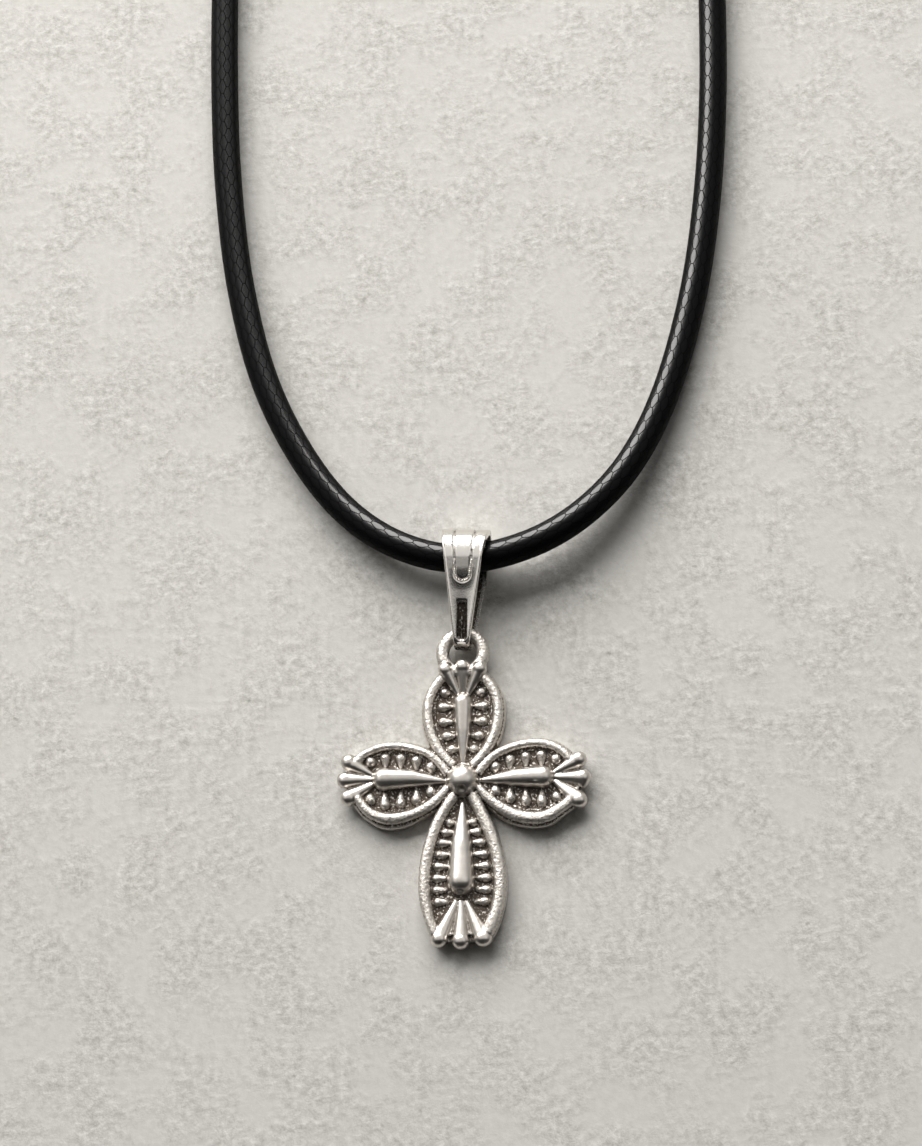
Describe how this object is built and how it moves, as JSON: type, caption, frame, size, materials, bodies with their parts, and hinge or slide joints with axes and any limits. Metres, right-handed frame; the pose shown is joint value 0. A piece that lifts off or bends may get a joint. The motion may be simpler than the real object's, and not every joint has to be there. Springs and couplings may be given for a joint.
{
  "type": "cross necklace",
  "caption": "Cast metal cross pendant with petal arms, beads and a ring, on a folded bail and a round black cord loop closed by a barrel clasp.",
  "frame": {"origin": "on the flat back of the cross, under the ball where its arms meet", "axes": "+Z out of the front of the cross, +Y up the cross towards the bail and the clasp, +X to the right"},
  "size_m": [0.059, 0.2277, 0.0056],
  "materials": {
    "antique_silver": "cast, plated and darkened in the hollows, rubbed bright on the high places",
    "polished_silver": "bright, lightly rubbed",
    "black_wax": "waxed braid, half gloss",
    "plain_steel": "fine satin"
  },
  "bodies": {
    "root": {"cross": "antique_silver", "bail": "polished_silver", "cord": "black_wax", "clasp": "plain_steel"}
  },
  "joints": []
}
